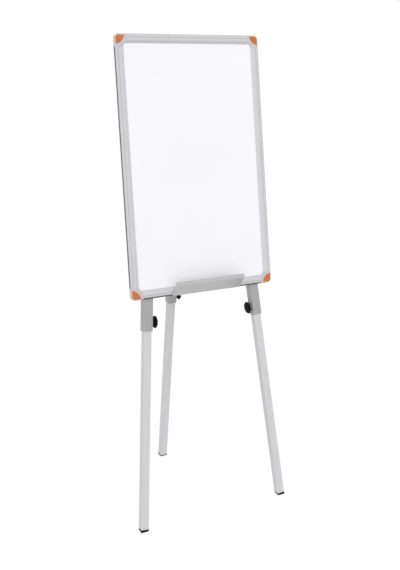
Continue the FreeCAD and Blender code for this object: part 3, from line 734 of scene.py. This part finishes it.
def makePanScrew():
    plan = panScrew
    screw = turnedPiece("pan_screw", plan["rings"], plan["segments"])
    width, taper = plan["slotWidth"], plan["taper"]
    top = (0, 0, plan["top"])
    bpy.ops.object.select_all(action="DESELECT")
    bpy.ops.mesh.primitive_cube_add(size=width, location=top)
    cross = bpy.context.active_object
    bpy.ops.object.transform_apply()
    bpy.ops.object.mode_set(mode="EDIT")
    bpy.ops.transform.resize(value=(1, 1, 2 * plan["slotDepth"] / width), center_override=top)

    def atSide(face, way):
        off = face.calc_center_median() - way * width / 2
        return face.normal.dot(way) > modelling["facing"] and off.xy.length < modelling["touch"]

    for way in map(Vector, ((1, 0, 0), (-1, 0, 0), (0, 1, 0), (0, -1, 0))):
        pick(cross, "FACE", lambda face: atSide(face, way))
        pushOut(way * plan["slotReach"])
    pick(cross, "VERT", lambda vert: vert.co.z < plan["top"])
    bpy.ops.transform.resize(value=(taper, taper, 1), center_override=top)
    closeMesh()
    cutWith(screw, cross)
    return screw


# where the screws sit in the board's frame
screwPlan = {
    "cornerAcross": 0.2992,
    "cornerHeights": (0.066, 0.934),
    "railBack": 0.0076,
    "saddleHeights": (0.01756159, 0.98595789),  # along a front leg
    "saddleOffset": 0.0247,
    "saddleBack": 0.0091,
    "hingeAcross": (-0.045, -0.032, 0.032, 0.045),
    "hingeBack": 0.0106,
    "trayShift": 0.011,
    "trayAcross": (-0.11, 0.0, 0.11),
    "trayBack": 0.003,
    "trayUnder": -0.0015,
}


def screwPlaces():
    plan = screwPlan
    splay = math.radians(stance["splay"])
    places = {"corner_screws": [], "saddle_screws": [], "hinge_screws": [], "tray_screws": []}
    for sign in (-1, 1):
        for height in plan["cornerHeights"]:
            places["corner_screws"].append((sign * plan["cornerAcross"], plan["railBack"], height))
        for height in plan["saddleHeights"]:
            for offset in (-plan["saddleOffset"], plan["saddleOffset"]):
                across = stance["legHead"][0] - height * math.sin(splay) + offset * math.cos(splay)
                rise = height * math.cos(splay) + offset * math.sin(splay)
                places["saddle_screws"].append((sign * across, plan["saddleBack"], rise))
    for across in plan["hingeAcross"]:
        places["hinge_screws"].append((across, plan["hingeBack"], stance["pivot"][2]))
    for across in plan["trayAcross"]:
        places["tray_screws"].append((plan["trayShift"] + across, plan["trayBack"], plan["trayUnder"]))
    return places


def makeScrews():
    screw = makePanScrew()
    for label, spots in screwPlaces().items():
        facing = turn("X", 180) if label == "tray_screws" else turn("X", -90)
        places = [
            boardFrame @ shift(*spot) @ facing @ turn("Z", panScrew["turnStep"] * count)
            for count, spot in enumerate(spots)
        ]
        heads = setOut(screw, f"{label[:-1]}_heads", places)
        fitPiece(heads, "board", label, zincPlate)
    bpy.data.objects.remove(screw, do_unlink=True)


# clamp knobs: hub, lobed head and a shallow ring on its face
clampKnob = {
    # radius, height and share of the lobes, in millimetres
    "rings": (
        (4.05, 9, 0), (4.05, 0, 0), (10.6, 0, 0), (11, 0.4, 0), (11, 3.4, 0), (11.7, 4, 0), (20.5, 4, 0.6),
        (22.4, 4.35, 0.9), (23.5, 5.2, 1), (24, 6.5, 1), (24, 9.5, 1), (23.5, 10.8, 1), (22.4, 11.7, 0.9),
        (20, 12.3, 0.6), (15, 13, 0.15), (11.2, 13.4, 0), (10.9, 13, 0), (10.5, 12.8, 0), (10.1, 13, 0),
        (9.8, 13.4, 0), (9.3, 13.6, 0), (6, 13.75, 0), (2, 13.8, 0),
    ),
    "lobes": 8,
    "stepsPerLobe": 12,
    "depth": 3.4 / 24,  # of a dip, to the head's radius
    "sharpness": 2.2,
    "start": 0.02575,  # from the tube's middle
    "rise": 0.032,  # above the tube's lower end
}


def makeKnob():
    plan = clampKnob
    steps = plan["stepsPerLobe"]
    rings = [(radius / 1000, height / 1000, share) for radius, height, share in plan["rings"]]
    knob = turnedPiece("knob_model", [ring[:2] for ring in rings], plan["lobes"] * steps)
    takeUp(knob)
    bpy.ops.object.mode_set(mode="EDIT")
    turnPerStep = 2 * math.pi / (plan["lobes"] * steps)

    def onRing(vert, radius, height):
        touch = modelling["touch"]
        return abs(vert.co.z - height) < touch and abs(vert.co.xy.length - radius) < touch

    def inDip(vert, count, lobed):
        step = round(math.atan2(vert.co.y, vert.co.x) / turnPerStep) % steps
        return step in (count, steps - count) and any(onRing(vert, *ring) for ring in lobed)

    for share in sorted({share for _, _, share in rings if share}):
        lobed = [(radius, height) for radius, height, part in rings if part == share]
        for count in range(steps // 2):
            dip = ((1 + math.cos(2 * math.pi * count / steps)) / 2) ** plan["sharpness"]
            pick(knob, "VERT", lambda vert: inDip(vert, count, lobed))
            pull = 1 - plan["depth"] * share * dip
            bpy.ops.transform.resize(value=(pull, pull, 1), center_override=(0, 0, 0))
    bpy.ops.object.mode_set(mode="OBJECT")
    return knob


# metric threads: one helical ridge, cut level at both ends
threadPlan = {
    "root": 0.00335,
    "crest": 0.00398,
    "pitch": 0.00125,
    "profile": ((0, 0.14), (1, 0.30), (0, 0.12), (-1, 0.30), (0, 0.14)),  # in depths and pitches
    "lead": 1.5,  # pitches below the start
    "spareTurns": 3,
    "steps": 28,
}
clampStud = {"start": 0.01755, "end": 0.03475, "hole": 0.00155, "holeDepth": 0.0041, "holeSegments": 24}


def makeThread(name, start, end):
    plan = threadPlan
    root, pitch = plan["root"], plan["pitch"]
    depth = plan["crest"] - root
    bpy.ops.object.select_all(action="DESELECT")
    bpy.ops.mesh.primitive_plane_add(size=pitch, location=(root, 0, start - plan["lead"] * pitch))
    thread = bpy.context.active_object
    thread.name = name
    bpy.ops.object.transform_apply()
    bpy.ops.object.mode_set(mode="EDIT")
    bpy.ops.mesh.merge(type="CENTER")
    for across, up in plan["profile"]:
        pushOut((across * depth, 0, up * pitch))
    bpy.ops.object.mode_set(mode="OBJECT")
    helix = thread.modifiers.new("helix", "SCREW")
    helix.steps = helix.render_steps = plan["steps"]
    helix.screw_offset = pitch
    helix.iterations = math.ceil((end - start) / pitch) + plan["spareTurns"]
    takeUp(thread)
    bpy.ops.object.modifier_apply(modifier=helix.name)
    bpy.ops.object.mode_set(mode="EDIT")
    bpy.ops.mesh.select_all(action="SELECT")
    bpy.ops.mesh.remove_doubles(threshold=modelling["touch"])
    trimLevel(start, clear_inner=True)
    trimLevel(end, clear_outer=True)
    closeMesh()
    return thread


def makeClamps():
    knob = makeKnob()
    stud = makeThread("stud_model", clampStud["start"], clampStud["end"])
    drillStart = clampStud["start"] - modelling["past"]
    drillEnd = clampStud["start"] + clampStud["holeDepth"]
    cutWith(stud, rod("stud_drill", clampStud["hole"], drillStart, drillEnd, clampStud["holeSegments"]))
    for side in sides:
        mouth = stance["rearHang"] if side == "rear" else stance["tubeDrop"]
        facing = turn("Y", -90 if side == "right" else 90)
        clampFrame = legFrames[side] @ shift(0, 0, clampKnob["rise"] - mouth) @ facing
        placedKnob = setOut(knob, f"lobed_knob_{side}", [clampFrame @ shift(0, 0, clampKnob["start"])])
        fitPiece(placedKnob, f"{side}_knob", f"clamp_knob_{side}", blackPlastic)
        placedStud = setOut(stud, f"threaded_stud_{side}", [clampFrame])
        fitPiece(placedStud, f"{side}_knob", f"clamp_stud_{side}", zincPlate)
    for model in (knob, stud):
        bpy.data.objects.remove(model, do_unlink=True)


# hinge bolt and nut with chamfered hexagons, along the hinge's axis
hingeBolt = {
    "flats": 0.013,
    "chamferShare": 0.95,  # of the flats, where the chamfer starts on the face
    "chamferWide": 1.05,  # of the corners, where its cone ends
    "chamferSegments": 48,
    "headStart": -0.02925,
    "seat": 0.02395,
    "nutEnd": 0.03045,
    "end": 0.03295,
    "endChamfer": 0.0007,
    "plainEnd": 0.019,
    "radius": 0.00398,
    "bore": 0.00405,
    "lap": 0.0005,  # of the shank in the head
    "threadLap": 0.0002,
    "segments": 40,
    "turn": 30,  # a corner of each hexagon points up
}


def makeHexagon(name, start, end, chamferStart, chamferEnd):
    inner = hingeBolt["flats"] / 2
    corner = inner / math.cos(math.pi / 6)
    block = rod(name, corner, start, end, 6)
    wide, face = corner * hingeBolt["chamferWide"], inner * hingeBolt["chamferShare"]
    drop = (wide - face) * math.tan(math.pi / 6)
    rings = [(face, start), (wide, start + drop)] if chamferStart else [(wide, start)]
    rings += [(wide, end - drop), (face, end)] if chamferEnd else [(wide, end)]
    cutWith(block, turnedPiece("hexagon_chamfer", rings, hingeBolt["chamferSegments"]), "INTERSECT")
    return block


def makeHingeBolt():
    plan = hingeBolt
    radius, seat, end, lap = plan["radius"], plan["seat"], plan["end"], plan["lap"]
    segments = plan["segments"]
    place = pivotFrame @ turn("Y", 90) @ turn("Z", plan["turn"])
    head = makeHexagon("bolt_head", plan["headStart"], -seat, True, False)
    shank = rod("bolt_shank", radius, -seat - lap, plan["plainEnd"], segments)
    thread = makeThread("bolt_thread", plan["plainEnd"] - plan["threadLap"], end)
    chamfer = plan["endChamfer"]
    rings = ((radius + lap, 0.0), (radius + lap, end - chamfer - lap), (radius - chamfer, end))
    cutWith(thread, turnedPiece("end_chamfer", rings, segments), "INTERSECT")
    bolt = joined([head, shank, thread])
    fitPiece(setOut(bolt, "hexagon_bolt", [place]), "board", "hinge_bolt", zincPlate)
    nut = makeHexagon("nut_model", seat, plan["nutEnd"], True, True)
    past = modelling["past"]
    cutWith(nut, rod("nut_bore", plan["bore"], seat - past, plan["nutEnd"] + past, segments))
    fitPiece(setOut(nut, "hexagon_nut", [place]), "board", "hinge_nut", zincPlate)
    for model in (bolt, nut):
        bpy.data.objects.remove(model, do_unlink=True)


# moulded feet: a soft-edged sole cut level with the floor, and a plug up the inner tube
legFoot = {
    "size": 0.031,
    "corner": 0.0025,
    "cornerSteps": 5,
    "sole": 0.007,
    "plugSize": 0.0274,
    "plugLength": 0.018,
    "soften": 0.0007,
    "softenSteps": 3,
}


def makeFeet():
    plan = legFoot
    size, touch, facing = plan["size"], modelling["touch"], modelling["facing"]

    def isUpright(edge):
        return abs((edge.verts[0].co - edge.verts[1].co).normalized().z) > facing

    for side in sides:
        floorReach = stance["rearFloor"] if side == "rear" else stance["legFloor"]
        bpy.ops.object.select_all(action="DESELECT")
        bpy.ops.mesh.primitive_cube_add(size=size, location=(0, 0, -size / 2))
        foot = bpy.context.active_object
        foot.name = f"moulded_foot_{side}"
        bpy.ops.object.transform_apply()
        bpy.ops.object.mode_set(mode="EDIT")
        pick(foot, "EDGE", isUpright)
        roundEdges(plan["corner"], plan["cornerSteps"])
        pick(foot, "FACE", lambda face: face.normal.z > facing)
        bpy.ops.mesh.inset(thickness=(size - plan["plugSize"]) / 2, depth=0)
        pushOut((0, 0, plan["plugLength"]))
        bpy.ops.object.mode_set(mode="OBJECT")
        foot.matrix_world = legFrames[side] @ shift(0, 0, plan["sole"] - floorReach)
        takeUp(foot)
        bpy.ops.object.transform_apply()
        bpy.ops.object.mode_set(mode="EDIT")
        trimLevel(0, clear_inner=True)
        pick(foot, "EDGE", lambda edge: all(abs(vert.co.z) < touch for vert in edge.verts))
        roundEdges(plan["soften"], plan["softenSteps"])
        closeMesh()
        fitPiece(foot, f"{side}_leg", f"foot_{side}", footRubber)


makeScrews()
makeClamps()
makeHingeBolt()
makeFeet()
print("screws, clamps, hinge bolt and feet modelled")


# rays that show a surface: straight to the camera, mirrored or through glass
def shownRays(tree):
    path = tree.nodes.new("ShaderNodeLightPath")
    shown = path.outputs["Is Camera Ray"]
    for name in ("Is Glossy Ray", "Is Transmission Ray"):
        either = tree.nodes.new("ShaderNodeMath")
        either.operation = "MAXIMUM"
        tree.links.new(shown, either.inputs[0])
        tree.links.new(path.outputs[name], either.inputs[1])
        shown = either.outputs[0]
    return shown


def grey(level):
    return (level, level, level, 1)


# floor, white to the camera and in reflections, with a faint shadow kept
floorLook = {"size": 60.0, "bounce": 0.9, "shadePaint": 0.95, "lit": 0.25, "glow": 1.055}


def makeFloor():
    bpy.ops.object.select_all(action="DESELECT")
    bpy.ops.mesh.primitive_plane_add(size=floorLook["size"], location=(0, 0, 0))
    floor = bpy.context.active_object
    floor.name = "studio_floor"
    paint = Finish("studio floor white")
    shown = Wire(paint, shownRays(paint.tree))
    plain = paint.add("ShaderNodeBsdfDiffuse", None, {"Color": grey(floorLook["bounce"])})
    glow = paint.add("ShaderNodeEmission", None, {"Color": grey(1), "Strength": floorLook["glow"]})
    shaded = paint.add("ShaderNodeBsdfDiffuse", None, {"Color": grey(floorLook["shadePaint"])})
    pale = paint.add("ShaderNodeMixShader", None, {0: floorLook["lit"], 1: glow, 2: shaded})
    whole = paint.add("ShaderNodeMixShader", None, {0: shown, 1: plain, 2: pale})
    output = next(node for node in paint.tree.nodes if node.type == "OUTPUT_MATERIAL")
    paint.feed(output.inputs["Surface"], whole)
    paint.tree.nodes.remove(paint.shader)
    floor.data.materials.append(paint.material)


# soft light: an even room, a key high at the front left, a low fill from the front and a back light
lightPlan = {
    "room": 0.735,
    "key": {"from": (-0.30, -0.77, 0.62), "power": 0.54, "softness": 40},
    "fill": {"from": (-0.4, -0.9, 0.04), "power": 0.58, "softness": 50},
    "back": {"from": (0.5, 1.0, 0.55), "power": 0.6, "softness": 50},
}


def makeLights():
    world = bpy.data.worlds.new("studio room")
    bpy.context.scene.world = world
    world.use_nodes = True
    tree = world.node_tree
    sky = next(node for node in tree.nodes if node.type == "BACKGROUND")
    level = tree.nodes.new("ShaderNodeMapRange")
    level.inputs["To Min"].default_value = lightPlan["room"]
    level.inputs["To Max"].default_value = 1.0
    tree.links.new(shownRays(tree), level.inputs["Value"])
    sky.inputs["Color"].default_value = grey(1)
    tree.links.new(level.outputs[0], sky.inputs["Strength"])
    for name in ("key", "fill", "back"):
        plan = lightPlan[name]
        lamp = bpy.data.lights.new(f"{name}_light", "SUN")
        lamp.energy = plan["power"]
        lamp.angle = math.radians(plan["softness"])
        holder = bpy.data.objects.new(f"{name}_light", lamp)
        holder.rotation_euler = Vector(plan["from"]).to_track_quat("Z", "Y").to_euler()
        bpy.context.scene.collection.objects.link(holder)


# photograph's view, worked out for an image of 400 by 570
cameraPlan = {
    "place": (-1.3427, -2.8543, 1.7685),
    "pitch": 9.783,
    "turn": 26.231,
    "sensor": 36,
    "lens": 50.122,
    "shift": -0.15,
}


def makeCamera():
    pitch, heading = math.radians(90 - cameraPlan["pitch"]), math.radians(-cameraPlan["turn"])
    data = bpy.data.cameras.new("photo_view")
    data.sensor_width = cameraPlan["sensor"]
    data.lens = cameraPlan["lens"]
    data.shift_y = cameraPlan["shift"]
    camera = bpy.data.objects.new("photo_view", data)
    camera.location = cameraPlan["place"]
    camera.rotation_euler = (pitch, 0, heading)
    bpy.context.scene.collection.objects.link(camera)
    bpy.context.scene.camera = camera


makeFloor()
makeLights()
makeCamera()
bpy.context.scene.view_settings.view_transform = "Standard"
print("floor, lights and camera placed")
